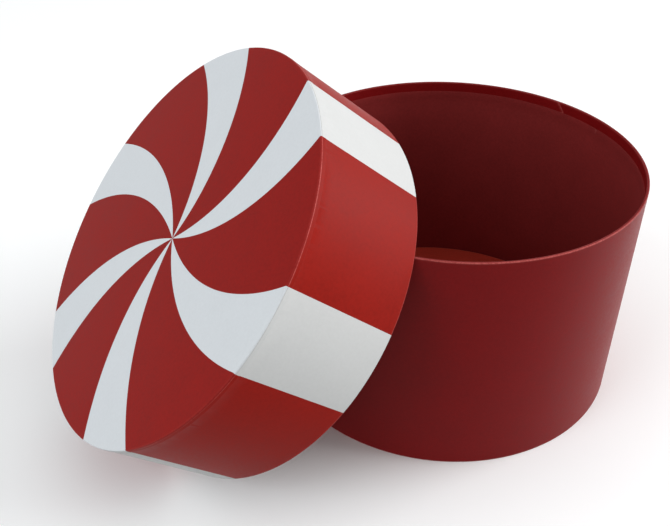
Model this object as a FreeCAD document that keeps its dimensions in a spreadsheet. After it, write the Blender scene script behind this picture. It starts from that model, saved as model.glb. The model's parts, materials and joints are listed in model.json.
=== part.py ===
import FreeCAD, Part
import os

import Sketcher

# A round hat box of greyboard covered in paper, with its lift-off lid.
# The origin is the centre of the box's underside, and +Z is up. The lid is off:
# it leans on the box's rim from the -X side, with its open edge towards the box.

# Millimetres and degrees. A bearing goes round a piece's own axis, from its +X
# towards its +Y.
SIZES = {
    "box_radius": 175,           # to the outside of the covered wall
    "box_height": 224,           # underside to rim
    "lid_depth": 109,            # open edge to the printed top
    "lid_lean": 49,              # lid's axis away from upright
    "lid_clearance": 1.1,        # radial play of the lid over the box
    "lean_gap": 0.5,             # leaning lid to the box's rim
    "floor_gap": 0.3,            # leaning lid to what the box stands on
    "board": 2,                  # greyboard of walls, base and lid top
    "board_joint": 0.4,          # slit where the ends of a wall strip meet
    "cover_paper": 0.25,         # outer wrap of box and lid
    "lining_paper": 0.2,
    "tape": 0.15,                # kraft tape, pressed into the board
    "stay_width": 16,            # each leg of a corner tape
    "joint_tape_width": 40,
    "joint_tape_inset": 5,       # joint tape short of the board's free edge
    "box_joint_bearing": 100,
    "lid_joint_bearing": 250,
    "band_shown": 10,            # turned-in wrap left showing inside the rim
    "lining_lap": 6,             # lining lapped over the turned-in wrap
    "turn_under": 14,            # box wrap turned under the base
    "underside_setback": 2,      # underside paper short of the wall
    "turn_down": 4.5,            # printed top paper turned down the lid's side
    "wrap_drop": 0.3,            # cut edge of the lid's side wrap below its top
    "floor_card": 1.5,
    "floor_card_play": 0.6,      # papered floor card to the wall lining round it
}

doc = FreeCAD.newDocument("hat_box")
sheet = doc.addObject("Spreadsheet::Sheet", "Sizes")
for row, (alias, value) in enumerate(SIZES.items(), start=1):
    sheet.set(f"A{row}", alias)
    sheet.set(f"B{row}", str(value))
    sheet.setAlias(f"B{row}", alias)
doc.recompute()


def sized(expression):
    """The expression in brackets, with each {alias} read from the sheet."""
    return "(" + expression.format(**{alias: f"Sizes.{alias}" for alias in SIZES}) + ")"


# Radii of the box, outside to inside, and its levels from the underside up.
BOX_OUT = sized("{box_radius}")
BOX_BOARD_OUT = sized("{box_radius} - {cover_paper}")
BOX_BOARD_IN = sized("{box_radius} - {cover_paper} - {board}")
BOX_LINING_IN = sized("{box_radius} - {cover_paper} - {board} - {lining_paper}")
CARD_OUT = f"({BOX_LINING_IN} - Sizes.floor_card_play - Sizes.lining_paper)"
WRAP_UNDER = sized("{lining_paper}")
BOARD_UNDER = sized("{lining_paper} + {cover_paper}")
BASE_TOP = sized("{lining_paper} + {cover_paper} + {board}")
CARD_TOP = sized("{lining_paper} + {cover_paper} + {board} + {floor_card}")
BOX_RIM = sized("{box_height}")

# Radii of the lid, inside to outside, and its levels from the open edge up.
LID_BOARD_IN = sized("{box_radius} + {lid_clearance} + {cover_paper} + {lining_paper}")
LID_BOARD_OUT = f"({LID_BOARD_IN} + Sizes.board)"
LID_OUT = f"({LID_BOARD_OUT} + Sizes.cover_paper)"
LID_CEILING = sized("{lid_depth} - {cover_paper} - {board}")
LID_BOARD_TOP = sized("{lid_depth} - {cover_paper}")
LID_TOP = sized("{lid_depth}")
LID_TURN_DOWN = sized("{lid_depth} - {turn_down}")
LID_OPEN_EDGE = "0"

# The leaning lid's lowest edge is at the floor, and its mouth meets the box's rim
# at two points. TOUCH is how far they are up the slope of the mouth from its
# centre, as a share of the mouth's radius.
LEAN_SIN = sized("sin({lid_lean} * 1 deg)")
LEAN_COS = sized("cos({lid_lean} * 1 deg)")
MOUTH = f"({LID_BOARD_IN} - Sizes.cover_paper)"
MOUTH_HEIGHT = f"({LID_OUT} * {LEAN_SIN} + Sizes.floor_gap)"
TOUCH = f"(({BOX_RIM} - {MOUTH_HEIGHT}) / ({MOUTH} * {LEAN_SIN}))"
MOUTH_REACH = (
    f"({MOUTH} * {TOUCH} * {LEAN_COS}"
    f" + sqrt({BOX_OUT}^2 - {MOUTH}^2 * (1 - {TOUCH}^2)) + Sizes.lean_gap)"
)

# How each body is placed. A body of the lid is drawn from its open edge up.
STANDING = {
    "Placement.Base.x": "0 mm",
    "Placement.Base.z": "0 mm",
}
LEANING = {
    "Placement.Base.x": f"-{MOUTH_REACH} * 1 mm",
    "Placement.Base.z": f"{MOUTH_HEIGHT} * 1 mm",
    "Placement.Rotation.Axis.x": "0",
    "Placement.Rotation.Axis.y": "1",
    "Placement.Rotation.Axis.z": "0",
    "Placement.Rotation.Angle": "-Sizes.lid_lean * 1 deg",
}


# ------------------------------------------------------------ sketches and turns
def profile(body, name, corners, bearing):
    """A fully constrained outline in the plane through Z at a bearing.

    The corners are (radius, level) pairs of expressions.
    """
    sketch = body.newObject("Sketcher::SketchObject", name)
    plane = next(item for item in body.Origin.OriginFeatures if item.Role == "XZ_Plane")
    sketch.AttachmentSupport = [(plane, "")]
    sketch.MapMode = "FlatFace"
    sketch.AttachmentOffset = FreeCAD.Placement(
        FreeCAD.Vector(), FreeCAD.Rotation(FreeCAD.Vector(0, 1, 0), 0)
    )
    sketch.setExpression("AttachmentOffset.Rotation.Angle", f"{bearing} * 1 deg")
    points = [
        FreeCAD.Vector(sketch.evalExpression(radius), sketch.evalExpression(level), 0)
        for radius, level in corners
    ]
    for start, end in zip(points, points[1:] + points[:1]):
        sketch.addGeometry(Part.LineSegment(start, end))
    for line, point in enumerate(points):
        before = (line - 1) % len(points)
        sketch.addConstraint(Sketcher.Constraint("Coincident", before, 2, line, 1))
        for kind, value, expression in zip(("DistanceX", "DistanceY"), point, corners[line]):
            index = sketch.addConstraint(Sketcher.Constraint(kind, -1, 1, line, 1, value))
            sketch.setExpression(f"Constraints[{index}]", expression)
    return sketch


def turn(body, kind, corners, bearing="0", sweep="360"):
    """Add a turn of the outline about Z, centred on the bearing."""
    feature = body.newObject(f"PartDesign::{kind}", f"{body.Name}_{kind.lower()}")
    sketch = profile(body, f"{feature.Name}_outline", corners, bearing)
    feature.Profile = sketch
    feature.ReferenceAxis = (sketch, ["V_Axis"])
    feature.Midplane = True
    feature.setExpression("Angle", sweep)
    body.Tip = feature


def turned(name, place, corners, bearing="0", sweep="360"):
    """A body of one turned outline, standing or leaning."""
    body = doc.addObject("PartDesign::Body", name)
    turn(body, "Revolution", corners, bearing, sweep)
    for path, expression in place.items():
        body.setExpression(path, expression)
    return body


def sweep_of(width, radius):
    """The angle in degrees that a strip of this width takes round a radius."""
    return f"({width} / {radius} * 180 / pi)"


# ------------------------------------------- pieces that both box and lid have
# "inward" is "+" or "-": the way along the axis from the piece's free rim, or
# from its closed corner, into the piece.
def wall_board(name, place, board_in, board_out, rim, corner, inward, joint_bearing):
    """Greyboard strip bent to a hoop, its ends a slit apart, with its tapes' seats."""
    seat = f"({board_out} - Sizes.tape)"
    hoop = turned(
        name,
        place,
        [
            (board_in, rim),
            (board_out, rim),
            (board_out, f"({corner} {inward} Sizes.stay_width)"),
            (seat, f"({corner} {inward} Sizes.stay_width)"),
            (seat, f"({corner} {inward} Sizes.tape)"),
            (board_in, f"({corner} {inward} Sizes.tape)"),
        ],
        f"({joint_bearing} + 180)",
        f"(360 - {sweep_of('Sizes.board_joint', board_in)})",
    )
    doc.recompute()
    whole = hoop.Shape.Volume
    outline = joint_tape_outline(board_out, rim, corner, inward)
    turn(hoop, "Groove", outline, joint_bearing, joint_tape_sweep(board_out))
    doc.recompute()
    assert hoop.Shape.Volume < whole, f"{name}: the joint tape's seat cut nothing"
    return hoop


def joint_tape_outline(board_out, rim, corner, inward):
    outward = {"+": "-", "-": "+"}[inward]
    low = f"({corner} {inward} Sizes.stay_width)"
    high = f"({rim} {outward} Sizes.joint_tape_inset)"
    seat = f"({board_out} - Sizes.tape)"
    return [(seat, low), (board_out, low), (board_out, high), (seat, high)]


def joint_tape_sweep(board_out):
    return sweep_of("Sizes.joint_tape_width", board_out)


def joint_tape(name, place, board_out, rim, corner, inward, joint_bearing):
    """Kraft tape down the outside of the wall's butt joint."""
    outline = joint_tape_outline(board_out, rim, corner, inward)
    return turned(name, place, outline, joint_bearing, joint_tape_sweep(board_out))


def end_board(name, place, board_in, board_out, corner, inward):
    """Greyboard disc inside the wall's closed end, with its share of the corner tape's seat."""
    lap = f"({board_out} - Sizes.stay_width)"
    seat = f"({corner} {inward} Sizes.tape)"
    inner = f"({corner} {inward} Sizes.board)"
    return turned(
        name,
        place,
        [("0", corner), (lap, corner), (lap, seat), (board_in, seat), (board_in, inner), ("0", inner)],
    )


def corner_tape(name, place, board_out, corner, inward):
    """Stay tape folded round the corner where the wall meets its end board."""
    lap = f"({board_out} - Sizes.stay_width)"
    seat = f"({board_out} - Sizes.tape)"
    return turned(
        name,
        place,
        [
            (lap, corner),
            (board_out, corner),
            (board_out, f"({corner} {inward} Sizes.stay_width)"),
            (seat, f"({corner} {inward} Sizes.stay_width)"),
            (seat, f"({corner} {inward} Sizes.tape)"),
            (lap, f"({corner} {inward} Sizes.tape)"),
        ],
    )


def wrapped_rim(board_in, board_out, rim, inward):
    """Corners of cover paper from outside the wall to its cut edge within, and back."""
    outside = f"({board_out} + Sizes.cover_paper)"
    turned_in = f"({board_in} - Sizes.cover_paper)"
    raw_edge = f"({rim} {inward} (Sizes.band_shown + Sizes.lining_lap))"
    board_rim = f"({rim} {inward} Sizes.cover_paper)"
    return [
        (outside, rim),
        (turned_in, rim),
        (turned_in, raw_edge),
        (board_in, raw_edge),
        (board_in, board_rim),
        (board_out, board_rim),
    ]


def wall_lining(name, place, board_in, rim, end, inward):
    """Lining paper up the inside of the wall, stepping over the turned-in wrap."""
    plain = f"({board_in} - Sizes.lining_paper)"
    lapped = f"({board_in} - Sizes.cover_paper)"
    lapped_in = f"({board_in} - Sizes.cover_paper - Sizes.lining_paper)"
    free_edge = f"({rim} {inward} Sizes.band_shown)"
    raw_edge = f"({rim} {inward} (Sizes.band_shown + Sizes.lining_lap))"
    step = f"({rim} {inward} (Sizes.band_shown + Sizes.lining_lap + Sizes.lining_paper))"
    return turned(
        name,
        place,
        [
            (plain, end),
            (board_in, end),
            (board_in, raw_edge),
            (lapped, raw_edge),
            (lapped, free_edge),
            (lapped_in, free_edge),
            (lapped_in, step),
            (plain, step),
        ],
    )


# ----------------------------------------------------------------------- the box
def box_outer_cover():
    """Deep red wrap: under the base, up the outside and in over the rim."""
    lap = sized("{box_radius} - {turn_under}")
    return turned(
        "box_outer_cover",
        STANDING,
        [
            (lap, WRAP_UNDER),
            (BOX_OUT, WRAP_UNDER),
            *wrapped_rim(BOX_BOARD_IN, BOX_BOARD_OUT, BOX_RIM, "-"),
            (BOX_BOARD_OUT, BOARD_UNDER),
            (lap, BOARD_UNDER),
        ],
    )


def box_underside_cover():
    """Paper disc under the base: thin where it covers the wrap's lap, full inside it."""
    radius = sized("{box_radius} - {underside_setback}")
    lap = sized("{box_radius} - {turn_under}")
    return turned(
        "box_underside_cover",
        STANDING,
        [
            ("0", "0"),
            (radius, "0"),
            (radius, WRAP_UNDER),
            (lap, WRAP_UNDER),
            (lap, BOARD_UNDER),
            ("0", BOARD_UNDER),
        ],
    )


def box_floor_card():
    return turned(
        "box_floor_card",
        STANDING,
        [("0", BASE_TOP), (CARD_OUT, BASE_TOP), (CARD_OUT, CARD_TOP), ("0", CARD_TOP)],
    )


def box_floor_lining():
    """Paper over the floor card, folded down its edge."""
    papered_out = f"({CARD_OUT} + Sizes.lining_paper)"
    papered_top = f"({CARD_TOP} + Sizes.lining_paper)"
    return turned(
        "box_floor_lining",
        STANDING,
        [
            ("0", CARD_TOP),
            (CARD_OUT, CARD_TOP),
            (CARD_OUT, BASE_TOP),
            (papered_out, BASE_TOP),
            (papered_out, papered_top),
            ("0", papered_top),
        ],
    )


def build_box():
    board_rim = sized("{box_height} - {cover_paper}")
    wall = (BOX_BOARD_IN, BOX_BOARD_OUT)
    joint = "Sizes.box_joint_bearing"
    return [
        wall_board("box_wall_board", STANDING, *wall, board_rim, BOARD_UNDER, "+", joint),
        joint_tape(
            "box_wall_joint_tape", STANDING, BOX_BOARD_OUT, board_rim, BOARD_UNDER, "+", joint
        ),
        end_board("box_base_board", STANDING, *wall, BOARD_UNDER, "+"),
        corner_tape("box_base_corner_tape", STANDING, BOX_BOARD_OUT, BOARD_UNDER, "+"),
        box_outer_cover(),
        wall_lining("box_wall_lining", STANDING, BOX_BOARD_IN, BOX_RIM, BASE_TOP, "-"),
        box_underside_cover(),
        box_floor_card(),
        box_floor_lining(),
    ]


# ----------------------------------------------------------------------- the lid
def lid_top_cover():
    """Printed top paper, turned down onto the side under the side wrap."""
    return turned(
        "lid_top_cover",
        LEANING,
        [
            ("0", LID_TOP),
            (LID_OUT, LID_TOP),
            (LID_OUT, LID_TURN_DOWN),
            (LID_BOARD_OUT, LID_TURN_DOWN),
            (LID_BOARD_OUT, LID_BOARD_TOP),
            ("0", LID_BOARD_TOP),
        ],
    )


def lid_side_cover():
    """Printed side wrap: over the turned-down top paper, down, and in over the open edge."""
    cut_edge = sized("{lid_depth} - {wrap_drop}")
    over = f"({LID_OUT} + Sizes.cover_paper)"
    step = f"({LID_TURN_DOWN} - Sizes.cover_paper)"
    return turned(
        "lid_side_cover",
        LEANING,
        [
            (LID_OUT, cut_edge),
            (over, cut_edge),
            (over, step),
            (LID_OUT, step),
            *wrapped_rim(LID_BOARD_IN, LID_BOARD_OUT, LID_OPEN_EDGE, "+"),
            (LID_BOARD_OUT, LID_TURN_DOWN),
            (LID_OUT, LID_TURN_DOWN),
        ],
    )


def lid_ceiling_lining():
    radius = f"({LID_BOARD_IN} - Sizes.lining_paper)"
    under = f"({LID_CEILING} - Sizes.lining_paper)"
    return turned(
        "lid_ceiling_lining",
        LEANING,
        [("0", LID_CEILING), (radius, LID_CEILING), (radius, under), ("0", under)],
    )


def build_lid():
    board_rim = sized("{cover_paper}")
    wall = (LID_BOARD_IN, LID_BOARD_OUT)
    joint = "Sizes.lid_joint_bearing"
    return [
        wall_board("lid_side_board", LEANING, *wall, board_rim, LID_BOARD_TOP, "-", joint),
        joint_tape(
            "lid_side_joint_tape", LEANING, LID_BOARD_OUT, board_rim, LID_BOARD_TOP, "-", joint
        ),
        end_board("lid_top_board", LEANING, *wall, LID_BOARD_TOP, "-"),
        corner_tape("lid_top_corner_tape", LEANING, LID_BOARD_OUT, LID_BOARD_TOP, "-"),
        lid_side_cover(),
        wall_lining("lid_side_lining", LEANING, LID_BOARD_IN, LID_OPEN_EDGE, LID_CEILING, "+"),
        lid_top_cover(),
        lid_ceiling_lining(),
    ]


# ----------------------------------------------------------- checks and export
pieces = build_box() + build_lid()
doc.recompute()

for item in doc.Objects:
    assert not {"Invalid", "Error"} & set(item.State), f"{item.Name}: {item.State}"
for piece in pieces:
    piece.Label = piece.Name
    assert not piece.Shape.isNull() and piece.Shape.isValid(), f"{piece.Label}: bad shape"
    assert len(piece.Shape.Solids) == 1, f"{piece.Label}: {len(piece.Shape.Solids)} solids"

os.makedirs("parts", exist_ok=True)
for piece in pieces:
    piece.Shape.exportStep(f"parts/{piece.Label}.step")
    print(f"{piece.Label}: {piece.Shape.Volume:.0f} mm3")
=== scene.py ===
"""A paper-covered hat box and its leaning lid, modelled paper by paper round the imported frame."""

import json
import math

import bmesh
import bpy
from mathutils import Matrix, Vector, noise


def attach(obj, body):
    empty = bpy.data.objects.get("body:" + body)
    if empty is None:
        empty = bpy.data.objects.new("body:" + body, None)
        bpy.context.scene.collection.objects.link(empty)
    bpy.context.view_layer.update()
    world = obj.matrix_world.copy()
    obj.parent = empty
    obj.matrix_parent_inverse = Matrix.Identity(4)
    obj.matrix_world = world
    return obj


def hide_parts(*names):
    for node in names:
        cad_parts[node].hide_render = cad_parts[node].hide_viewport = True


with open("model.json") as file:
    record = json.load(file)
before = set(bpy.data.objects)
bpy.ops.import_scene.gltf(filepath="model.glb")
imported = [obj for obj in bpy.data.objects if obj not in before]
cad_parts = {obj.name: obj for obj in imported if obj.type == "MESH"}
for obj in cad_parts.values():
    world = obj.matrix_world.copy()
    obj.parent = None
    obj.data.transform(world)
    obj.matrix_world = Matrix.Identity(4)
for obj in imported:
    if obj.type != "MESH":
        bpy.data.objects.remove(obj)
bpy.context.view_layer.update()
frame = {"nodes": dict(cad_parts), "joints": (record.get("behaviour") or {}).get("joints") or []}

MM = 0.001


# --------------------------------------------------------------- sizes of the frame
def turned_by(joint, angle):
    """The motion of a hinge by an angle in degrees, from rest."""
    pivot = Matrix.Translation(Vector(joint["pos_m"]))
    turn = Matrix.Rotation(math.radians(angle), 4, Vector(joint["axis"]))
    return pivot @ turn @ pivot.inverted()


# The lid is built upright over the box, where its hinge takes it, and then laid back.
lid_swing = next(joint for joint in frame["joints"] if joint["name"] == "lid_swing")
UPRIGHT = turned_by(lid_swing, lid_swing["range_deg"][1])
LEANING = UPRIGHT.inverted()
STANDING = Matrix.Identity(4)


class Extent:
    """Radii and levels of a round CAD node, with its axis upright."""

    def __init__(self, node, upright=STANDING):
        points = [upright @ vertex.co for vertex in frame["nodes"][node].data.vertices]
        radii = [math.hypot(point.x, point.y) for point in points]
        levels = [point.z for point in points]
        self.inner, self.outer = min(radii), max(radii)
        self.low, self.high = min(levels), max(levels)


box_wrap = Extent("box_outer_cover")
box_board = Extent("box_wall_board")
box_lining = Extent("box_wall_lining")
box_underside = Extent("box_underside_cover")
floor_card = Extent("box_floor_card")
floor_paper = Extent("box_floor_lining")

lid_board = Extent("lid_side_board", UPRIGHT)
lid_wrap = Extent("lid_side_cover", UPRIGHT)
lid_print = Extent("lid_top_cover", UPRIGHT)
lid_lining = Extent("lid_side_lining", UPRIGHT)
lid_ceiling = Extent("lid_ceiling_lining", UPRIGHT)

# The thickness of the covering papers and of the linings.
COVER = box_wrap.outer - box_board.outer
LINING = floor_paper.outer - floor_card.outer

# Both wraps are turned in past the open edge by this much. A lining laps over that, takes
# LINING_SLOPE to come off its raw end, and is rubbed within LINING_RUB of its free edge.
TURN_IN = 16 * MM
LINING_SLOPE = 1.2 * MM
LINING_RUB = 0.6 * MM


# ------------------------------------------------------------------ turned paper
# A fold is an arc in a few steps, held on both sides by points that keep little of its
# wear. A long run has a point about every RUN, or more often on the flat discs.
ROUNDING = 0.7 * MM
ROUNDING_STEPS = 4
SUPPORT = 0.5 * MM
SUPPORT_WEAR = 0.06
RUN = 9 * MM
DISC_RUN = 7 * MM
PRINT_RUN = 6 * MM

# Points closer than WELD become one. Edges that turn by more than SHARP_ANGLE stay sharp.
WELD = 0.1 * LINING
SHARP_ANGLE = 40

# How many bearings go round each kind of sheet.
BOX_BEARINGS = 288
LID_BEARINGS = 264
DISC_BEARINGS = 192


def supports(rounding, length, wear):
    """(distance from the corner, wear) of the points beside a rounding that half a run holds."""
    marks = (
        (rounding + SUPPORT, SUPPORT_WEAR * wear),
        (rounding + 3 * SUPPORT, 0),
    )
    return [(distance, worn) for distance, worn in marks if distance < 0.5 * length]


def rounded(corners, run=RUN):
    """Points along an outline of (radius, level, rounding, wear) corners.

    Right-angled corners are rounded, with support points each side, and long runs
    are divided. An outline that starts and ends on the axis is open there. Wear goes
    from 0 for whole paper to 1 for paper that is rubbed through or cut.
    """
    closed = corners[0][0] > 0
    path = []
    for index, (radius, level, rounding, wear) in enumerate(corners):
        here = Vector((radius, level))
        if rounding:
            before = Vector(corners[index - 1][:2])
            after = Vector(corners[(index + 1) % len(corners)][:2])
            to_before = (before - here).normalized()
            to_after = (after - here).normalized()
            centre = here + rounding * (to_before + to_after)
            for distance, worn in reversed(supports(rounding, (before - here).length, wear)):
                path.append((here + distance * to_before, worn))
            for step in range(ROUNDING_STEPS + 1):
                angle = math.radians(90 * step / ROUNDING_STEPS)
                offset = to_after * math.cos(angle) + to_before * math.sin(angle)
                path.append((centre - rounding * offset, wear))
            for distance, worn in supports(rounding, (after - here).length, wear):
                path.append((here + distance * to_after, worn))
        else:
            path.append((here, wear))
    points = []
    for index, (here, wear) in enumerate(path):
        points.append((here.x, here.y, wear))
        if index + 1 == len(path) and not closed:
            break
        there = path[(index + 1) % len(path)][0]
        steps = max(1, round((there - here).length / run))
        for step in range(1, steps):
            between = here.lerp(there, step / steps)
            points.append((between.x, between.y, 0))
    return points


def faces_per_column(points):
    """How many faces one column of an outline makes. One that starts on the axis is open there."""
    closed = points[0][0] > 0
    return len(points) if closed else len(points) - 1


def turned_sheet(name, body, node, points, bearings, lay, place=STANDING):
    """A closed sheet of paper: the outline's points at every bearing, each laid by lay().

    lay(bearing, radius, level) gives a point, and how far it is worn beyond the outline's
    own wear, with painted highlight and shade in it on the box's rim and the lid's cut
    edge. The swirl's columns can take the place of bearings. The sheet stands for
    its CAD node.
    """
    mesh = bpy.data.meshes.new(name)
    sheet = bmesh.new()
    # The wear attribute also carries painted highlight and shade on the box's rim and the lid's cut
    # edge.
    worn = sheet.verts.layers.float.new("wear")
    columns = []
    for bearing in bearings:
        column = []
        for radius, level, wear in points:
            point, more_wear_and_light = lay(bearing, radius, level)
            vertex = sheet.verts.new(point)
            vertex[worn] = min(1, max(0, wear + more_wear_and_light))
            column.append(vertex)
        columns.append(column)
    for here, there in zip(columns, columns[1:] + columns[:1]):
        for index in range(faces_per_column(points)):
            after = (index + 1) % len(points)
            sheet.faces.new((here[index], there[index], there[after], here[after]))
    bmesh.ops.remove_doubles(sheet, verts=sheet.verts, dist=WELD)
    bmesh.ops.recalc_face_normals(sheet, faces=sheet.faces)
    sheet.to_mesh(mesh)
    sheet.free()
    mesh.shade_smooth()
    mesh.set_sharp_from_angle(angle=math.radians(SHARP_ANGLE))
    piece = bpy.data.objects.new(name, mesh)
    bpy.context.scene.collection.objects.link(piece)
    piece.matrix_world = place
    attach(piece, body)
    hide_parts(node)
    return piece


def around(bearing, radius, level):
    """The point at a bearing in degrees, a radius and a level."""
    angle = math.radians(bearing)
    return Vector((radius * math.cos(angle), radius * math.sin(angle), level))


def even_bearings(count):
    """Bearings spread evenly all round, in degrees."""
    return [360 * index / count for index in range(count)]


def ramp(value, start, end):
    """0 before start, 1 after end, and smooth between. End may be before start."""
    share = min(1, max(0, (value - start) / (end - start)))
    return share * share * (3 - 2 * share)


# A wall's unevenness dies away within WALL_FADE of its folds and edges, and a disc's within
# DISC_FADE of its rim. A disc's swells are about DISC_SWELL_SIZE long.
WALL_FADE = 12 * MM
DISC_FADE = 15 * MM
DISC_SWELL_SIZE = 38 * MM

# A point this close to a radius counts as lying on it.
CLOSE = 0.1 * MM


def swell(bearing, level, size, depth):
    """Slow unevenness of a glued paper wall, from 0 to -depth."""
    point = around(bearing, box_wrap.outer, level) / size
    return -depth * (0.5 + 0.5 * noise.noise(point))


def disc_swell(point, radius, rim, depth):
    """Slow unevenness of a glued paper disc, up or down by depth at most."""
    return depth * noise.noise(point / DISC_SWELL_SIZE) * ramp(radius, rim, rim - DISC_FADE)


def along_edge(bearing, radius, size, draw=0):
    """Noise from -1 to 1 along a round edge, with swells of a size. Each draw is another noise."""
    return noise.noise(around(bearing, radius, draw) / size)


# ------------------------------------------------------------------- materials
# A paper's clouds of tone, its tooth, its fibres and its slow waves: how wide they are, how
# high the last three stand, how strongly the tooth and the waves show, and how the fibres
# are drawn out along the sheet's level.
CLOUD = 28 * MM
TOOTH = 2.4 * MM
FIBRE = 0.5 * MM
WAVE = 9 * MM
TOOTH_HEIGHT = 0.05 * MM
FIBRE_HEIGHT = 0.02 * MM
WAVE_HEIGHT = 0.06 * MM
TOOTH_STRENGTH = 0.55
WAVE_STRENGTH = 0.3
FIBRE_DRAWN_OUT = (0.3, 0.3, 1)

# The tone is part cloud and part tooth, each from a stretch of its noise, and the roughness
# follows it.
CLOUD_RANGE = (0.2, 0.8)
TOOTH_RANGE = (0.3, 0.7)
CLOUD_SHARE = 0.4
ROUGHNESS_SPREAD = 0.07

# Worn edges are rubbed through in patches, and less between them.
RUBBED_PATCH = 1.6 * MM
RUBBED_RANGE = (0.35, 0.6)
RUBBED_LEAST = 0.45

# A speck lies in a cell whose random colour is brighter than SPECK_LEVEL, which few are. It
# is full out to SPECK_CORE from the cell's middle and gone at SPECK_EDGE, in cells.
SPECK_LEVEL = 0.88
SPECK_ONSET = 0.01
SPECK_CORE = 0.02
SPECK_EDGE = 0.045

# The numbers of a mix node's two colours and its result, whose names its other sockets share.
MIXED_COLOURS = (6, 7)
MIXED_RESULT = 2


def grey(value):
    """A colour of equal parts, with its alpha."""
    return (value, value, value, 1)


def map_range(tree, value, low, high, to_low, to_high, interpolation="LINEAR"):
    """The socket of a value mapped from low and high to two other numbers."""
    node = tree.nodes.new("ShaderNodeMapRange")
    node.interpolation_type = interpolation
    ends = {"From Min": low, "From Max": high, "To Min": to_low, "To Max": to_high}
    for name, number in ends.items():
        node.inputs[name].default_value = number
    tree.links.new(value, node.inputs["Value"])
    return node.outputs["Result"]


class Paper:
    """A procedural paper: mottled colour, a fine tooth, fibres and slow waves.

    rub() adds worn edges, with some painted highlight and shade along them, and speckle() adds
    specks of dirt.
    """

    def __init__(self, name, colour, roughness, specular, mottle=0.13, fibre=0.6, sheen=0):
        self.material = bpy.data.materials.new(name)
        self.material.use_nodes = True
        self.tree = self.material.node_tree
        self.nodes = self.tree.nodes
        self.links = self.tree.links
        self.shader = self.nodes["Principled BSDF"]
        self.shader.inputs["Specular IOR Level"].default_value = specular
        self.shader.inputs["Sheen Weight"].default_value = sheen
        self.place = self.nodes.new("ShaderNodeTexCoord").outputs["Object"]
        clouds = self.noise(CLOUD, detail=3)
        fine = self.noise(TOOTH, detail=5)
        fibres = self.fibre_noise(FIBRE)
        dark = [channel * (1 - mottle) for channel in colour]
        light = [channel * (1 + mottle) for channel in colour]
        cloudy = self.spread(clouds, *CLOUD_RANGE, 0, CLOUD_SHARE)
        toothy = self.spread(fine, *TOOTH_RANGE, 0, 1 - CLOUD_SHARE)
        tone = self.combine(cloudy, toothy, "ADD")
        self.colour = self.mix(tone, dark, light)
        self.links.new(self.colour, self.shader.inputs["Base Color"])
        rough = self.spread(tone, 0, 1, roughness - ROUGHNESS_SPREAD, roughness + ROUGHNESS_SPREAD)
        self.links.new(rough, self.shader.inputs["Roughness"])
        waves = self.bump(self.noise(WAVE, detail=2), WAVE_STRENGTH, WAVE_HEIGHT, None)
        uneven = self.bump(fine, TOOTH_STRENGTH, TOOTH_HEIGHT, waves)
        grain = self.bump(fibres, fibre, FIBRE_HEIGHT, uneven)
        self.links.new(grain, self.shader.inputs["Normal"])

    def noise(self, size, detail):
        """Noise with swells of a size, from 0 to 1."""
        node = self.nodes.new("ShaderNodeTexNoise")
        node.inputs["Scale"].default_value = 1 / size
        node.inputs["Detail"].default_value = detail
        self.links.new(self.place, node.inputs["Vector"])
        return node.outputs["Fac"]

    def fibre_noise(self, width):
        """Noise drawn out into short fibres that lie along the sheet's level."""
        node = self.nodes.new("ShaderNodeMapping")
        node.inputs["Scale"].default_value = FIBRE_DRAWN_OUT
        self.links.new(self.place, node.inputs["Vector"])
        fibres = self.nodes.new("ShaderNodeTexNoise")
        fibres.inputs["Scale"].default_value = 1 / width
        fibres.inputs["Detail"].default_value = 2
        self.links.new(node.outputs["Vector"], fibres.inputs["Vector"])
        return fibres.outputs["Fac"]

    def combine(self, first, second, operation):
        """Two values put together by a maths operation."""
        node = self.nodes.new("ShaderNodeMath")
        node.operation = operation
        self.links.new(first, node.inputs[0])
        self.links.new(second, node.inputs[1])
        return node.outputs[0]

    def spread(self, value, low, high, to_low, to_high):
        """A value mapped from low and high to two other numbers."""
        return map_range(self.tree, value, low, high, to_low, to_high)

    def mix(self, share, first, second):
        """Two colours mixed by a share. Each is a socket or three numbers."""
        node = self.nodes.new("ShaderNodeMix")
        node.data_type = "RGBA"
        self.links.new(share, node.inputs["Factor"])
        for side, colour in zip(MIXED_COLOURS, (first, second)):
            if isinstance(colour, bpy.types.NodeSocket):
                self.links.new(colour, node.inputs[side])
            else:
                node.inputs[side].default_value = (*colour, 1)
        return node.outputs[MIXED_RESULT]

    def bump(self, height, strength, distance, under):
        """A bump laid over another one, or over the bare surface."""
        node = self.nodes.new("ShaderNodeBump")
        node.inputs["Strength"].default_value = strength
        node.inputs["Distance"].default_value = distance
        self.links.new(height, node.inputs["Height"])
        if under:
            self.links.new(under, node.inputs["Normal"])
        return node.outputs["Normal"]

    def rub(self, colour):
        """Shows a colour where the wear attribute and a noise agree: rubbed and cut edges, and also
        the painted highlight and shade that the attribute and some colours carry.
        """
        wear = self.nodes.new("ShaderNodeAttribute")
        wear.attribute_name = "wear"
        patches = self.spread(self.noise(RUBBED_PATCH, detail=3), *RUBBED_RANGE, RUBBED_LEAST, 1)
        share = self.combine(wear.outputs["Fac"], patches, "MULTIPLY")
        self.colour = self.mix(share, self.colour, colour)
        self.links.new(self.colour, self.shader.inputs["Base Color"])

    def speckle(self, colour, spacing):
        """Rare small specks of dirt, in a few cells of a spacing."""
        cells = self.nodes.new("ShaderNodeTexVoronoi")
        cells.inputs["Scale"].default_value = 1 / spacing
        self.links.new(self.place, cells.inputs["Vector"])
        near = self.spread(cells.outputs["Distance"], SPECK_CORE, SPECK_EDGE, 1, 0)
        chosen = self.spread(cells.outputs["Color"], SPECK_LEVEL, SPECK_LEVEL + SPECK_ONSET, 0, 1)
        speck = self.combine(near, chosen, "MULTIPLY")
        self.colour = self.mix(speck, self.colour, colour)
        self.links.new(self.colour, self.shader.inputs["Base Color"])


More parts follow.
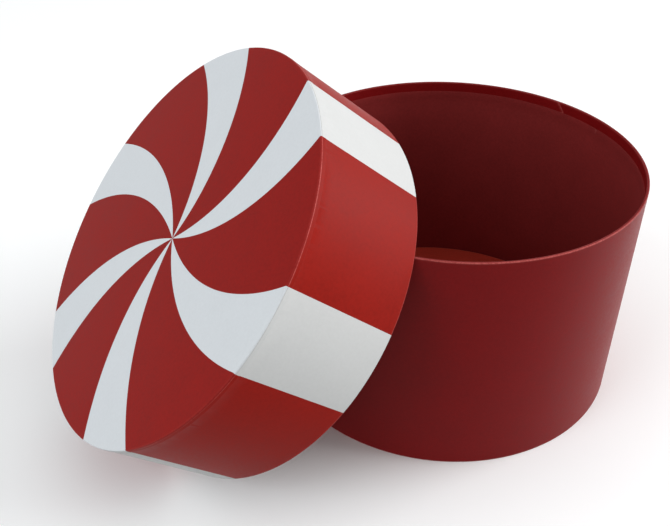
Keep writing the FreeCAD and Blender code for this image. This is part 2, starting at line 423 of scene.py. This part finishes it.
# What shows where a paper is rubbed through or cut. The grey on the white stripes' cut edge and
# folds is painted shade, a thin shadow line.
PINK_CORE = (0.68, 0.17, 0.155)
DULL_CORE = (0.42, 0.15, 0.14)
PAINTED_GAP_SHADE = (0.38, 0.38, 0.37)

# The colour of the specks on the white print, and the size of the cells that they lie in.
DIRT = (0.10, 0.07, 0.06)
DIRT_SPACING = 11 * MM

# Each paper has a colour, a roughness and a specular level. The outer papers are satin, the
# linings are matt, and the board is rough.
deep_red = Paper("deep_red_paper", (0.177, 0.0044, 0.0051), 0.42, 0.10)
print_red = Paper("printed_red", (0.251, 0.0086, 0.0064), 0.44, 0.05)
band_red = Paper("printed_band_red", (0.262, 0.0092, 0.0050), 0.46, 0.05, sheen=0.02)
# The top's white has a blue cast that is painted cool light; the band's white has none.
print_white = Paper("printed_white", (0.641, 0.662, 0.684), 0.44, 0.06, mottle=0.03)
band_white = Paper("printed_band_white", (0.572, 0.579, 0.575), 0.44, 0.06, mottle=0.03)
maroon = Paper("maroon_paper", (0.215, 0.0206, 0.0202), 0.72, 0.10, mottle=0.16, fibre=0.9)
# The floor paper is the linings' maroon made lighter and more orange: painted light from above.
floor_maroon_painted_light = Paper("floor_paper", (0.450, 0.0400, 0.0225), 0.74, 0.10, mottle=0.14, fibre=0.9)
greyboard = Paper("greyboard", (0.270, 0.245, 0.215), 0.92, 0.15, mottle=0.25, fibre=0.9)
kraft = Paper("kraft_tape", (0.350, 0.215, 0.110), 0.70, 0.25, mottle=0.15, fibre=0.7)

for red in (deep_red, print_red, band_red):
    red.rub(PINK_CORE)
for lining in (maroon, floor_maroon_painted_light):
    lining.rub(DULL_CORE)
# Painted shade: a thin grey line along the white stripes' cut edge and folds.
band_white.rub(PAINTED_GAP_SHADE)
for white in (print_white, band_white):
    white.speckle(DIRT, DIRT_SPACING)


# --------------------------------------------------------------- the box's papers
# The wrap's ends lap at one bearing. The upper end's edge is a step within LAP_STEP degrees,
# a little rubbed, and past it the paper lies down again by LAP_SPREAD degrees. It stands up
# by these shares of a paper's thickness outside and inside.
LAP_BEARING = 20
LAP_STEP = 0.12
LAP_SPREAD = 6
LAP_OUTSIDE = 0.8
LAP_INSIDE = 0.6
LAP_WEAR = 0.3

# Inside the rim that edge leans, by LAP_SLANT degrees for each metre down, and bearings
# within LAP_REACH degrees of it lean with it.
LAP_SLANT = 290
LAP_REACH = 12


def with_lap(bearings):
    """The bearings, with a close pair for the lap's edge in place of those near it."""
    kept_and_shaded = [bearing for bearing in bearings if abs(bearing - LAP_BEARING) > 3 * LAP_STEP]
    return sorted(kept_and_shaded + [LAP_BEARING - LAP_STEP, LAP_BEARING])


def lap_rise(bearing):
    """How far the lap's upper end stands up past its edge, from 1 to 0."""
    past = bearing - LAP_BEARING
    if past < 0:
        return 0
    return 1 - ramp(past, LAP_SPREAD / 2, LAP_SPREAD)


def lap_slanted(bearing, depth):
    """A bearing moved so that the lap's edge leans as it goes down from the rim."""
    reach = ramp(abs(bearing - LAP_BEARING), LAP_REACH, 0)
    return bearing - LAP_SLANT * max(0, depth) * reach


# The rim's pale line is partly rubbed paper and partly a painted highlight, palest about one
# bearing. Away from there it keeps some of its red, from the first of these cosines of the angle
# between, and all of RIM_KEPT past the second. That comes in from RIM_FADE to RIM_FOLD below the
# rim.
RUBBED_AND_HIGHLIT_BEARING = -140
RIM_KEPT = 0.4
RIM_KEPT_FROM = 0.6
RIM_KEPT_FULLY = -0.2
RIM_FADE = 3 * MM
RIM_FOLD = 2 * MM

BOX_SWELL_SIZE = 55 * MM
BOX_SWELL_DEPTH = 0.11 * MM


def box_wrap_sheet():
    """The wrap: up the outside of the wall, in over the rim, and down to its raw edge."""
    rim = box_wrap.high
    turned_in = box_board.inner - COVER
    raw_edge = rim - TURN_IN
    points = rounded([
        (box_wrap.outer, box_wrap.low, ROUNDING, 0.2),
        (box_wrap.outer, rim, ROUNDING, 0.5),
        (turned_in, rim, ROUNDING, 0.2),
        (turned_in, raw_edge, 0, 0),
        (box_board.inner, raw_edge, 0, 0),
        (box_board.inner, rim - COVER, 0, 0),
        (box_board.outer, rim - COVER, 0, 0),
        (box_board.outer, box_wrap.low + COVER, 0, 0),
        (box_wrap.inner, box_wrap.low + COVER, 0, 0),
        (box_wrap.inner, box_wrap.low, 0, 0),
    ])

    def lay(bearing, radius, level):
        rise = lap_rise(bearing) * COVER
        if radius < turned_in + CLOSE and level > raw_edge:
            moved = lap_slanted(bearing, rim - level)
            below_rim = ramp(level, rim, rim - RIM_FOLD)
            rubbed = LAP_WEAR if abs(bearing - LAP_BEARING) < LAP_STEP / 2 else 0
            return around(moved, radius - LAP_INSIDE * rise * below_rim, level), rubbed
        # Painted highlight: the rim's pale line is strongest towards one bearing and keeps more red
        # away from it.
        towards = math.cos(math.radians(bearing - RUBBED_AND_HIGHLIT_BEARING))
        kept_and_shaded = -RIM_KEPT * ramp(towards, RIM_KEPT_FROM, RIM_KEPT_FULLY)
        kept_and_shaded *= ramp(level, rim - RIM_FADE, rim - RIM_FOLD)
        if radius > box_wrap.outer - CLOSE:
            above_foot = ramp(level, box_wrap.low, box_wrap.low + WALL_FADE)
            body = above_foot * ramp(level, rim, rim - WALL_FADE)
            uneven = swell(bearing, level, BOX_SWELL_SIZE, BOX_SWELL_DEPTH) * body
            return around(bearing, radius + uneven + LAP_OUTSIDE * rise * body, level), kept_and_shaded
        return around(bearing, radius, level), kept_and_shaded

    bearings = with_lap(even_bearings(BOX_BEARINGS))
    sheet = turned_sheet("box_red_wrap", "box", "box_outer_cover", points, bearings, lay)
    sheet.data.materials.append(deep_red.material)


# A nick in the lining's top edge.
NICK_BEARING = 2.4
NICK_WIDTH = 0.25
NICK_DEPTH = 0.8 * MM
NICK_WEAR = 0.45
NICK_COLUMNS = (-1.5, -0.75, 0, 0.75, 1.5)

# The linings' free edges wave up and down. The box's lies BOX_EDGE_DROP lower on the whole,
# and the lid's only waves away from the open edge.
EDGE_WAVE_SIZE = 45 * MM
BOX_EDGE_WAVE = 0.25 * MM
BOX_EDGE_DROP = 0.15 * MM
LID_EDGE_WAVE = 0.15 * MM

LINING_FADE = 15 * MM
LINING_SWELL_SIZE = 40 * MM
LINING_SWELL_DEPTH = 0.10 * MM


def box_lining_sheet():
    """The wall's lining, with a wavy top edge, a nick in it, and a step over the wrap's raw edge."""
    plain = box_board.inner - LINING
    lapped = box_board.inner - COVER
    lapped_in = lapped - LINING
    free_edge = box_lining.high
    step = box_wrap.high - TURN_IN
    points = rounded([
        (plain, box_lining.low, 0, 0),
        (box_board.inner, box_lining.low, 0, 0),
        (box_board.inner, step, 0, 0),
        (lapped, step, 0, 0),
        (lapped, free_edge, 0, 0),
        (lapped_in, free_edge, 0, 0.1),
        (lapped_in, free_edge - LINING_RUB, 0, 0),
        (lapped_in, step, 0, 0),
        (plain, step - LINING_SLOPE, 0, 0),
    ])

    def lay(bearing, radius, level):
        near_edge = ramp(level, step, free_edge)
        from_nick = (bearing - NICK_BEARING + 180) % 360 - 180
        nick = math.exp(-((from_nick / NICK_WIDTH) ** 2))
        wave = BOX_EDGE_WAVE * along_edge(bearing, box_lining.outer, EDGE_WAVE_SIZE)
        rise = near_edge * (wave - BOX_EDGE_DROP - NICK_DEPTH * nick)
        uneven = 0
        if radius < plain + CLOSE:
            above_foot = ramp(level, box_lining.low, box_lining.low + WALL_FADE)
            body = above_foot * ramp(level, free_edge, step - LINING_FADE)
            uneven = swell(bearing, level, LINING_SWELL_SIZE, LINING_SWELL_DEPTH) * body
        return around(bearing, radius + uneven, level + rise), NICK_WEAR * nick * near_edge

    near_nick = [NICK_BEARING + NICK_WIDTH * column for column in NICK_COLUMNS]
    bearings = sorted(even_bearings(BOX_BEARINGS) + near_nick)
    sheet = turned_sheet("box_maroon_lining", "box", "box_wall_lining", points, bearings, lay)
    sheet.data.materials.append(maroon.material)


FLOOR_PAPER_ROUNDING = 0.5 * MM
FLOOR_SWELL_DEPTH = 0.10 * MM


def box_floor_sheet():
    """The paper on the floor's card, folded down its edge."""
    points = rounded([
        (0, floor_paper.high, 0, 0),
        (floor_paper.outer, floor_paper.high, FLOOR_PAPER_ROUNDING, 0.4),
        (floor_paper.outer, floor_paper.low, 0, 0),
        (floor_card.outer, floor_paper.low, 0, 0),
        (floor_card.outer, floor_card.high, 0, 0),
        (0, floor_card.high, 0, 0),
    ], run=DISC_RUN)

    def lay(bearing, radius, level):
        point = around(bearing, radius, level)
        if level > floor_card.high + 0.5 * LINING:
            point.z += disc_swell(point, radius, floor_paper.outer, FLOOR_SWELL_DEPTH)
        return point, 0

    bearings = even_bearings(DISC_BEARINGS)
    sheet = turned_sheet("box_floor_paper", "box", "box_floor_lining", points, bearings, lay)
    sheet.data.materials.append(floor_maroon_painted_light.material)


# The underside's disc was cut by hand, so its edge wanders.
HAND_CUT = 0.4 * MM
HAND_CUT_SIZE = 30 * MM


def box_underside_sheet():
    """A paper disc glued under the base, over the wrap's turned-under margin."""
    under = box_underside.low
    points = rounded([
        (0, under, 0, 0),
        (box_underside.outer, under, 0, 0.3),
        (box_underside.outer, box_wrap.low, 0, 0.3),
        (box_wrap.inner, box_wrap.low, 0, 0),
        (box_wrap.inner, box_wrap.low + COVER, 0, 0),
        (0, box_wrap.low + COVER, 0, 0),
    ])

    def lay(bearing, radius, level):
        if radius > box_underside.outer - CLOSE:
            radius += HAND_CUT * along_edge(bearing, radius, HAND_CUT_SIZE)
        return around(bearing, radius, level), 0

    bearings = even_bearings(DISC_BEARINGS)
    sheet = turned_sheet("box_underside_paper", "box", "box_underside_cover", points, bearings, lay)
    sheet.data.materials.append(maroon.material)


# --------------------------------------------------------------- the lid's papers
# The printed swirl: six white blades on red, bent as spirals about a centre that the
# paper's hand cutting has left a little off the lid's axis. Each blade has the bearing
# of its middle line at the centre, its width, and how far it bends on its way to the
# edge, all in degrees.
BLADES = (
    (10.5, 21.5, 28),
    (70.5, 22, 29),
    (131.5, 20.5, 25.5),
    (187.5, 22.5, 27.5),
    (248, 23.5, 33),
    (312.5, 20.5, 29),
)
PRINT_CENTRE = Vector((2.7 * MM, -5.9 * MM))

# The lid's top is flat out to the radius FLAT. The length of a spiral that ends there is
# found in SETTLING_ROUNDS, each of them closer than the last.
FLAT = lid_print.outer - ROUNDING - SUPPORT
SETTLING_ROUNDS = 8

# Columns for each degree of the swirl: the band needs more of them, for its tabs.
PRINT_COLUMNS = 0.75
BAND_COLUMNS = 2


def swirl_columns(per_degree):
    """(bearing at the centre, bend, is it white) for columns spread evenly within each sector.

    Each blade and each gap after it is a sector, with an even number of columns.
    """
    columns = []
    for index, (middle, width, bend) in enumerate(BLADES):
        start = middle - width / 2
        end = middle + width / 2
        next_middle, next_width, next_bend = BLADES[(index + 1) % len(BLADES)]
        next_start = next_middle - next_width / 2
        if next_start < start:
            next_start += 360
        sectors = (
            (start, end, bend, bend, True),
            (end, next_start, bend, next_bend, False),
        )
        for first, last, first_bend, last_bend, white in sectors:
            steps = 2 * round((last - first) * per_degree / 2)
            for step in range(steps):
                share = step / steps
                bearing = first + share * (last - first)
                columns.append((bearing, first_bend + share * (last_bend - first_bend), white))
    return columns


def along_spiral(column, reach):
    """The point at a distance from the print's centre, on a column's spiral."""
    bearing, bend, _ = column
    angle = math.radians(bearing + bend * reach / lid_print.outer)
    return PRINT_CENTRE + reach * Vector((math.cos(angle), math.sin(angle)))


def reach_of(column):
    """How far a column's spiral runs before the flat of the lid's top ends."""
    reach = FLAT
    for _ in range(SETTLING_ROUNDS):
        reach += FLAT - along_spiral(column, reach).length
    return reach


def edge_bearing(column):
    """The bearing about the lid's axis at which a column's spiral meets the edge."""
    end = along_spiral(column, reach_of(column))
    return math.degrees(math.atan2(end.y, end.x)) % 360


PRINT_SWELL_SIZE = 45 * MM
PRINT_DIP = 0.07 * MM
PRINT_FADE = 20 * MM


def lid_print_sheet():
    """The printed sheet over the lid's top, turned down as tabs all round its side."""
    columns = swirl_columns(PRINT_COLUMNS)
    top = lid_print.high
    tab_end = lid_print.low
    points = rounded([
        (0, top, 0, 0),
        (lid_print.outer, top, ROUNDING, 0.08),
        (lid_print.outer, tab_end, 0, 0),
        (lid_board.outer, tab_end, 0, 0),
        (lid_board.outer, top - COVER, 0, 0),
        (0, top - COVER, 0, 0),
    ], run=PRINT_RUN)

    reaches = {column: reach_of(column) for column in columns}
    ends = {column: edge_bearing(column) for column in columns}

    def lay(column, radius, level):
        if radius > FLAT:
            return around(ends[column], radius, level), 0
        spot = along_spiral(column, reaches[column] * radius / FLAT)
        point = Vector((spot.x, spot.y, level))
        if level > top - 0.5 * COVER:
            inner = ramp(radius, FLAT, FLAT - PRINT_FADE)
            point.z -= PRINT_DIP * (1 + noise.noise(point / PRINT_SWELL_SIZE)) * inner
        return point, 0

    sheet = turned_sheet(
        "lid_swirl_paper", "lid", "lid_top_cover", points, columns, lay, LEANING
    )
    sheet.data.materials.append(print_red.material)
    sheet.data.materials.append(print_white.material)
    mark_white(sheet, points, columns)


def mark_white(sheet, points, columns):
    """The second material for the faces of the white sectors, in the order they were made."""
    per_column = faces_per_column(points)
    assert len(sheet.data.polygons) == per_column * len(columns)
    for face in sheet.data.polygons:
        if columns[face.index // per_column][2]:
            face.material_index = 1


# The band's cut edge lies CUT_DROP below the top of its CAD node. It is rubbed through there,
# about half so CUT_WORN further down, and not at all at twice that. Within CUT_RUBBED of the
# edge, some stretches have kept more of their print than others.
CUT_DROP = 0.7 * MM
CUT_WORN = 0.35 * MM
CUT_RUBBED = 0.5 * MM
CUT_KEPT = 0.45
CUT_KEPT_SIZE = 35 * MM

# On the side that leans lowest the edge was cut a little lower, which moves its points
# within CUT_MOVED, and painted shade dims its pale cut edge there. That side comes in from the
# first of these cosines of the bearing to the second.
LOW_SIDE_FROM = 0.3
LOW_SIDE_FULLY = -0.1
LOW_SIDE_DROP = 0.5 * MM
LOW_SIDE_PAINTED_SHADE = 0.4
CUT_MOVED = 0.8 * MM

# The band dips between the tabs under it, most at their ends, and is pressed in at its cut
# edge. The ridge where the tabs end starts RIDGE_TOP above it, runs out over RIDGE_SLOPE,
# and wanders up and down.
TAB_DIP = 0.13 * MM
CUT_DIP = 0.03 * MM
CUT_PRESSED = 0.06 * MM
RIDGE_TOP = 0.4 * MM
RIDGE_SLOPE = 2.2 * COVER
RIDGE_WANDER = 0.35 * MM
RIDGE_WANDER_SIZE = 7 * MM

BAND_FADE = 14 * MM
BAND_SWELL_SIZE = 50 * MM
BAND_SWELL_DEPTH = 0.10 * MM


def lid_wrap_sheet():
    """The side wrap: over the snipped tabs of the top sheet, down, and in over the open edge."""
    columns = swirl_columns(BAND_COLUMNS)
    ends = {column: edge_bearing(column) for column in columns}
    notch = {column: index % 2 for index, column in enumerate(columns)}
    low = lid_wrap.low
    cut = lid_wrap.high - CUT_DROP
    tab_end = lid_print.low
    outside = lid_print.outer
    over = outside + COVER
    turned_in = lid_board.inner - COVER
    raw_edge = low + TURN_IN
    points = rounded([
        (over, cut, 0, 1.0),
        (over, cut - CUT_WORN, 0, 0.55),
        (over, cut - 2 * CUT_WORN, 0, 0),
        (over, tab_end + RIDGE_TOP, 0, 0),
        (over, tab_end - COVER, 0, 0.05),
        (outside, tab_end - RIDGE_SLOPE, 0, 0),
        (outside, low, ROUNDING, 0.25),
        (turned_in, low, ROUNDING, 0.2),
        (turned_in, raw_edge, 0, 0),
        (lid_board.inner, raw_edge, 0, 0),
        (lid_board.inner, low + COVER, 0, 0),
        (lid_board.outer, low + COVER, 0, 0),
        (lid_board.outer, tab_end, 0, 0),
        (outside, tab_end, 0, 0),
        (outside, cut, 0, 1.0),
    ])

    def lay(column, radius, level):
        where = ends[column]
        low_side = ramp(math.cos(math.radians(where)), LOW_SIDE_FROM, LOW_SIDE_FULLY)
        uneven = 0
        kept_and_shaded = 0
        near_cut = level > cut - CUT_RUBBED
        # Painted shade: the pale cut edge is dimmed on the side that leans lowest.
        if near_cut:
            kept_and_shaded = -LOW_SIDE_PAINTED_SHADE * low_side
        if level > cut - CUT_MOVED:
            level -= LOW_SIDE_DROP * low_side
        if radius > over - CLOSE:
            uneven = -(TAB_DIP * ramp(level, cut, tab_end) + CUT_DIP) * notch[column]
            uneven -= CUT_PRESSED * ramp(level, tab_end, cut)
            if near_cut:
                kept_and_shaded -= CUT_KEPT * (0.5 + along_edge(where, radius, CUT_KEPT_SIZE))
            if level < tab_end + RIDGE_TOP + CLOSE:
                level += RIDGE_WANDER * along_edge(where, radius, RIDGE_WANDER_SIZE)
        elif radius > outside - CLOSE and level < tab_end - COVER:
            above_low = ramp(level, low, low + WALL_FADE)
            body = above_low * ramp(level, tab_end, tab_end - BAND_FADE)
            uneven = swell(where, level, BAND_SWELL_SIZE, BAND_SWELL_DEPTH) * body
        return around(where, radius + uneven, level), kept_and_shaded

    sheet = turned_sheet(
        "lid_striped_paper", "lid", "lid_side_cover", points, columns, lay, LEANING
    )
    sheet.data.materials.append(band_red.material)
    sheet.data.materials.append(band_white.material)
    mark_white(sheet, points, columns)


def lid_lining_sheet():
    """The lid's lining, with a wavy free edge and a step over the wrap's raw edge."""
    plain = lid_board.inner - LINING
    lapped = lid_board.inner - COVER
    lapped_in = lapped - LINING
    step = lid_wrap.low + TURN_IN
    free_edge = lid_lining.low
    points = rounded([
        (plain, lid_lining.high, 0, 0),
        (lid_board.inner, lid_lining.high, 0, 0),
        (lid_board.inner, step, 0, 0),
        (lapped, step, 0, 0),
        (lapped, free_edge, 0, 0),
        (lapped_in, free_edge, 0, 0.1),
        (lapped_in, free_edge + LINING_RUB, 0, 0),
        (lapped_in, step, 0, 0),
        (plain, step + LINING_SLOPE, 0, 0),
    ])

    def lay(bearing, radius, level):
        near_edge = ramp(level, step, free_edge)
        wave = LID_EDGE_WAVE * (1 + along_edge(bearing, lid_lining.outer, EDGE_WAVE_SIZE, draw=1))
        return around(bearing, radius, level + near_edge * wave), 0

    bearings = even_bearings(LID_BEARINGS)
    sheet = turned_sheet(
        "lid_lining_paper", "lid", "lid_side_lining", points, bearings, lay, LEANING
    )
    sheet.data.materials.append(maroon.material)


CEILING_SWELL_DEPTH = 0.08 * MM


def lid_ceiling_sheet():
    """The paper disc under the lid's top."""
    under = lid_ceiling.low
    points = rounded([
        (0, lid_ceiling.high, 0, 0),
        (lid_ceiling.outer, lid_ceiling.high, 0, 0),
        (lid_ceiling.outer, under, 0, 0),
        (0, under, 0, 0),
    ], run=DISC_RUN)

    def lay(bearing, radius, level):
        point = around(bearing, radius, level)
        if level < under + 0.5 * LINING:
            point.z += disc_swell(point, radius, lid_ceiling.outer, CEILING_SWELL_DEPTH)
        return point, 0

    bearings = even_bearings(DISC_BEARINGS)
    sheet = turned_sheet(
        "lid_ceiling_paper", "lid", "lid_ceiling_lining", points, bearings, lay, LEANING
    )
    sheet.data.materials.append(maroon.material)


box_wrap_sheet()
box_lining_sheet()
box_floor_sheet()
box_underside_sheet()
lid_print_sheet()
lid_wrap_sheet()
lid_lining_sheet()
lid_ceiling_sheet()

# The boards and tapes under the papers keep the shapes that the frame gives them.
HIDDEN = {
    "box_wall_board": greyboard,
    "box_base_board": greyboard,
    "box_floor_card": greyboard,
    "lid_side_board": greyboard,
    "lid_top_board": greyboard,
    "box_wall_joint_tape": kraft,
    "box_base_corner_tape": kraft,
    "lid_side_joint_tape": kraft,
    "lid_top_corner_tape": kraft,
}
for node, paper in HIDDEN.items():
    materials = frame["nodes"][node].data.materials
    materials.clear()
    materials.append(paper.material)


# ---------------------------------------------------------------- floor and light
STAGE_HALF = 4.5
STAGE_TONE = 0.97
STAGE_ROUGHNESS = 0.9


def studio_floor():
    """A plain white floor, square and at the level that the box stands on."""
    mesh = bpy.data.meshes.new("studio_floor")
    corners = [
        (-STAGE_HALF, -STAGE_HALF, 0),
        (STAGE_HALF, -STAGE_HALF, 0),
        (STAGE_HALF, STAGE_HALF, 0),
        (-STAGE_HALF, STAGE_HALF, 0),
    ]
    mesh.from_pydata(corners, [], [(0, 1, 2, 3)])
    floor = bpy.data.objects.new("studio_floor", mesh)
    bpy.context.scene.collection.objects.link(floor)
    material = bpy.data.materials.new("studio_floor")
    material.use_nodes = True
    shader = material.node_tree.nodes["Principled BSDF"]
    shader.inputs["Base Color"].default_value = grey(STAGE_TONE)
    shader.inputs["Roughness"].default_value = STAGE_ROUGHNESS
    shader.inputs["Specular IOR Level"].default_value = 0
    mesh.materials.append(material)
    # In the photo hardly any light seems to come back up from the floor, so this gives none.
    floor.visible_diffuse = False


# What the lights are turned to, and the cool white of the one that stands for a window.
LIT_PLACE = (-0.1, 0, 0.12)
DAYLIGHT = (0.88, 0.96, 1)


def softbox(name, place, size, power, colour=(1, 1, 1)):
    """An area light of a size in metres and a power in watts, turned to the object."""
    light = bpy.data.lights.new(name, "AREA")
    light.shape = "RECTANGLE"
    light.size, light.size_y = size
    light.energy = power
    light.color = colour
    lamp = bpy.data.objects.new(name, light)
    lamp.location = place
    lamp.rotation_euler = (Vector(LIT_PLACE) - Vector(place)).to_track_quat("-Z", "Y").to_euler()
    bpy.context.scene.collection.objects.link(lamp)


# The backdrop's strength at the horizon, overhead and below, and the heights between which
# it fades, where -1 is straight down and 1 straight up.
ALL_ROUND = 0.93
OVERHEAD = 0.55
BELOW = 0.38
OVERHEAD_FADE = (0, 0.5)
BELOW_FADE = (-0.4, 0)


def surroundings():
    """A white backdrop all round that grows dimmer overhead, and dimmer still below."""
    world = bpy.data.worlds.new("studio_surroundings")
    bpy.context.scene.world = world
    world.use_nodes = True
    nodes = world.node_tree.nodes
    links = world.node_tree.links
    direction = nodes.new("ShaderNodeTexCoord").outputs["Generated"]
    height = nodes.new("ShaderNodeSeparateXYZ")
    links.new(direction, height.inputs["Vector"])
    strengths = nodes.new("ShaderNodeMath")
    strengths.operation = "MINIMUM"
    fades = (
        (*BELOW_FADE, BELOW, ALL_ROUND),
        (*OVERHEAD_FADE, ALL_ROUND, OVERHEAD),
    )
    for side, numbers in enumerate(fades):
        fade = map_range(world.node_tree, height.outputs["Z"], *numbers, "SMOOTHSTEP")
        links.new(fade, strengths.inputs[side])
    links.new(strengths.outputs["Value"], nodes["Background"].inputs["Strength"])
    nodes["Background"].inputs["Color"].default_value = grey(1)


def studio():
    """The floor, two softboxes, a window and the backdrop's own light."""
    studio_floor()
    softbox("top_softbox", place=(0, 0, 2.4), size=(2.6, 2.6), power=7)
    softbox("right_softbox", place=(4.75, -1.5, 2.1), size=(4.0, 3.2), power=284)
    softbox("left_window", place=(-4.05, -0.4, 2.95), size=(3.2, 3.2), power=85, colour=DAYLIGHT)
    surroundings()
    bpy.context.scene.view_settings.view_transform = "Standard"


# ---------------------------------------------------------------------- camera
# Where the camera stands, which way it looks, in degrees from +X, and how far down. Its
# lens and sensor are in millimetres.
CAMERA_BEARING = -123.3
CAMERA_REACH = 0.702
CAMERA_HEIGHT = 0.590
CAMERA_HEADING = 65.89
CAMERA_TILT = 35.21
CAMERA_LENS = 44.57
SENSOR_WIDTH = 36


def camera():
    """The camera at the photo's angle."""
    data = bpy.data.cameras.new("camera")
    data.lens = CAMERA_LENS
    data.sensor_width = SENSOR_WIDTH
    seat = bpy.data.objects.new("camera", data)
    seat.location = around(CAMERA_BEARING, CAMERA_REACH, CAMERA_HEIGHT)
    seat.rotation_euler = (
        math.radians(90 - CAMERA_TILT),
        0,
        math.radians(CAMERA_HEADING - 90),
    )
    bpy.context.scene.collection.objects.link(seat)
    bpy.context.scene.camera = seat


studio()
camera()
